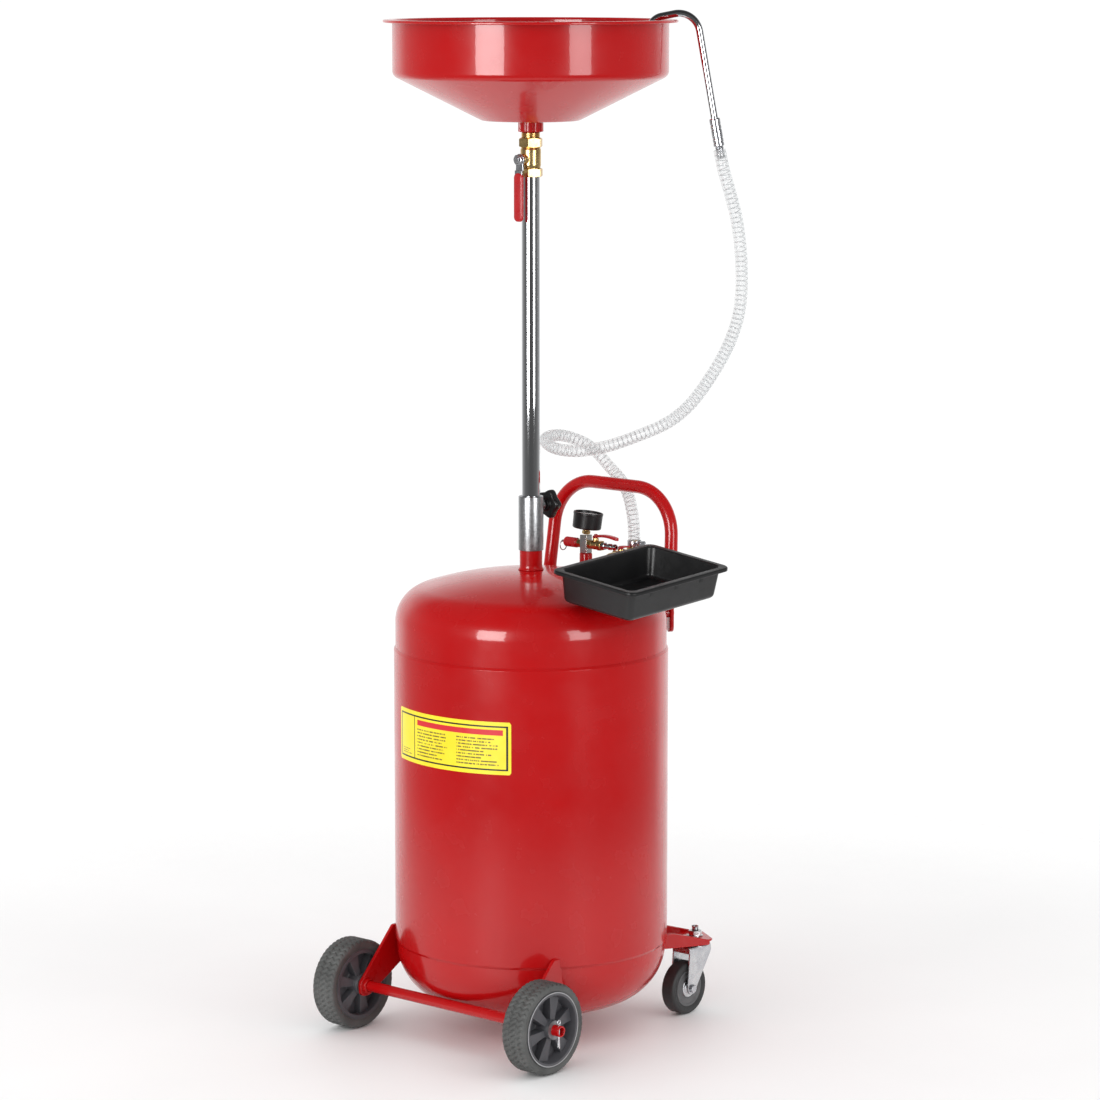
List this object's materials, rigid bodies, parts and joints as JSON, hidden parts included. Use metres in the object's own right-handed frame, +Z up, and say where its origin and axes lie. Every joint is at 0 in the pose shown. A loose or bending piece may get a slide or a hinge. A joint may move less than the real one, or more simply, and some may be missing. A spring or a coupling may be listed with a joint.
{
  "type": "oil drain pan",
  "caption": "Wheeled waste-oil drain tank with a height-adjustable funnel pan, suction wand and hose, air manifold, tool tray and push handle.",
  "frame": {"origin": "on the floor under the axis of the tank and its mast", "axes": "+X along the rear axle, +Y from the axle towards the casters and the push handle, +Z up along the mast"},
  "size_m": [0.4854, 0.4753, 1.4087],
  "materials": {
    "red_paint": "gloss",
    "chrome_tube": "gloss",
    "galvanised": "satin",
    "zinc": "satin",
    "brass": "satin",
    "bright_block": "satin",
    "black_plastic": "matte",
    "grey_plastic": "satin",
    "red_vinyl": "gloss",
    "tyre_grey": "matte",
    "caster_rubber": "matte",
    "label_print": "satin",
    "gauge_white": "satin",
    "clear_lens": "gloss",
    "clear_hose": "gloss"
  },
  "bodies": {
    "tank": {"tank_shell": "red_paint", "tank_top_head": "red_paint", "tank_bottom_head": "red_paint", "label": "label_print", "mast_socket": "red_paint", "mast_collar": "galvanised", "manifold_socket": "red_paint", "manifold_block": "bright_block", "gauge_stem": "brass", "gauge_case": "black_plastic", "gauge_dial": "gauge_white", "gauge_lens": "clear_lens", "relief_valve_body": "red_vinyl", "air_valve_body": "brass", "air_inlet_plug": "chrome_tube", "outlet_socket": "red_paint", "dip_tube": "galvanised", "outlet_valve_body": "brass", "hose_clamp": "zinc", "suction_hose": "clear_hose", "handle": "red_paint", "handle_bosses": "red_paint", "handle_bolts": "zinc", "tray": "black_plastic", "tray_bracket": "red_paint", "tray_screws": "zinc", "rear_brackets": "red_paint", "axle": "red_paint", "axle_washers": "zinc", "cotter_pins": "zinc", "caster_bracket_left": "red_paint", "caster_bracket_right": "red_paint", "caster_stems": "zinc", "caster_nuts": "zinc"},
    "wand": {"hose_wand": "chrome_tube", "wand_ferrule": "zinc"},
    "pan": {"mast_tube": "chrome_tube", "drain_pan": "red_paint", "pan_strainer": "zinc", "drain_socket": "red_paint", "drain_nipple": "brass", "drain_valve_body": "brass"},
    "drain_valve": {"drain_valve_ball": "chrome_tube", "drain_lever": "zinc", "drain_lever_grip": "red_vinyl", "drain_lever_nut": "zinc"},
    "clamp_screw": {"clamp_knob": "black_plastic", "clamp_stud": "zinc"},
    "gauge_pointer": {"gauge_needle": "black_plastic"},
    "relief_pull": {"relief_pull_ring": "zinc"},
    "air_lever": {"air_valve_lever": "red_vinyl"},
    "outlet_lever": {"outlet_valve_lever": "red_vinyl"},
    "wheel_left": {"wheel_core_left": "grey_plastic", "tyre_left": "tyre_grey"},
    "wheel_right": {"wheel_core_right": "grey_plastic", "tyre_right": "tyre_grey"},
    "caster_left": {"caster_fork_left": "zinc"},
    "caster_right": {"caster_fork_right": "zinc"},
    "caster_roll_left": {"caster_wheel_left": "caster_rubber"},
    "caster_roll_right": {"caster_wheel_right": "caster_rubber"}
  },
  "joints": [
    {"name": "mast_slide", "type": "slide", "parent": "tank", "child": "wand", "axis": [0, 0, 1], "range_m": [-0.3, 0.04], "deforming": ["suction_hose"]},
    {"name": "mast_turn", "type": "hinge", "parent": "wand", "child": "pan", "pos_m": [0, 0, 1], "axis": [0, 0, 1], "continuous": true},
    {"name": "drain_lever_turn", "type": "hinge", "parent": "pan", "child": "drain_valve", "pos_m": [0, -0.02, 1.209], "axis": [0, -1, 0], "range_deg": [0, 90]},
    {"name": "clamp_screw_turn", "type": "hinge", "parent": "tank", "child": "clamp_screw", "pos_m": [0, 0.02, 0.731], "axis": [0, 1, 0], "continuous": true},
    {"name": "gauge_needle_turn", "type": "hinge", "parent": "tank", "child": "gauge_pointer", "pos_m": [0.00221, 0.11794, 0.70583], "axis": [-0.085, -0.0747, -0.9936], "range_deg": [0, 270]},
    {"name": "relief_pull_slide", "type": "slide", "parent": "tank", "child": "relief_pull", "axis": [-1, 0, 0], "range_m": [0, 0.003], "stiffness_N_per_m": 2000},
    {"name": "air_lever_turn", "type": "hinge", "parent": "tank", "child": "air_lever", "pos_m": [0.01825, 0.116, 0.675], "axis": [0, 0, 1], "range_deg": [0, 90]},
    {"name": "outlet_lever_turn", "type": "hinge", "parent": "tank", "child": "outlet_lever", "pos_m": [0.013, 0.177, 0.655], "axis": [0, 0, 1], "range_deg": [0, 90]},
    {"name": "wheel_left_turn", "type": "hinge", "parent": "tank", "child": "wheel_left", "pos_m": [-0.177, -0.177, 0.0625], "axis": [1, 0, 0], "continuous": true},
    {"name": "wheel_right_turn", "type": "hinge", "parent": "tank", "child": "wheel_right", "pos_m": [0.177, -0.177, 0.0625], "axis": [1, 0, 0], "continuous": true},
    {"name": "caster_left_swivel", "type": "hinge", "parent": "tank", "child": "caster_left", "pos_m": [-0.128, 0.206, 0.095], "axis": [0, 0, 1], "continuous": true},
    {"name": "caster_left_turn", "type": "hinge", "parent": "caster_left", "child": "caster_roll_left", "pos_m": [-0.128, 0.181, 0.0375], "axis": [1, 0, 0], "continuous": true},
    {"name": "caster_right_swivel", "type": "hinge", "parent": "tank", "child": "caster_right", "pos_m": [0.128, 0.206, 0.095], "axis": [0, 0, 1], "continuous": true},
    {"name": "caster_right_turn", "type": "hinge", "parent": "caster_right", "child": "caster_roll_right", "pos_m": [0.128, 0.181, 0.0375], "axis": [1, 0, 0], "continuous": true}
  ]
}
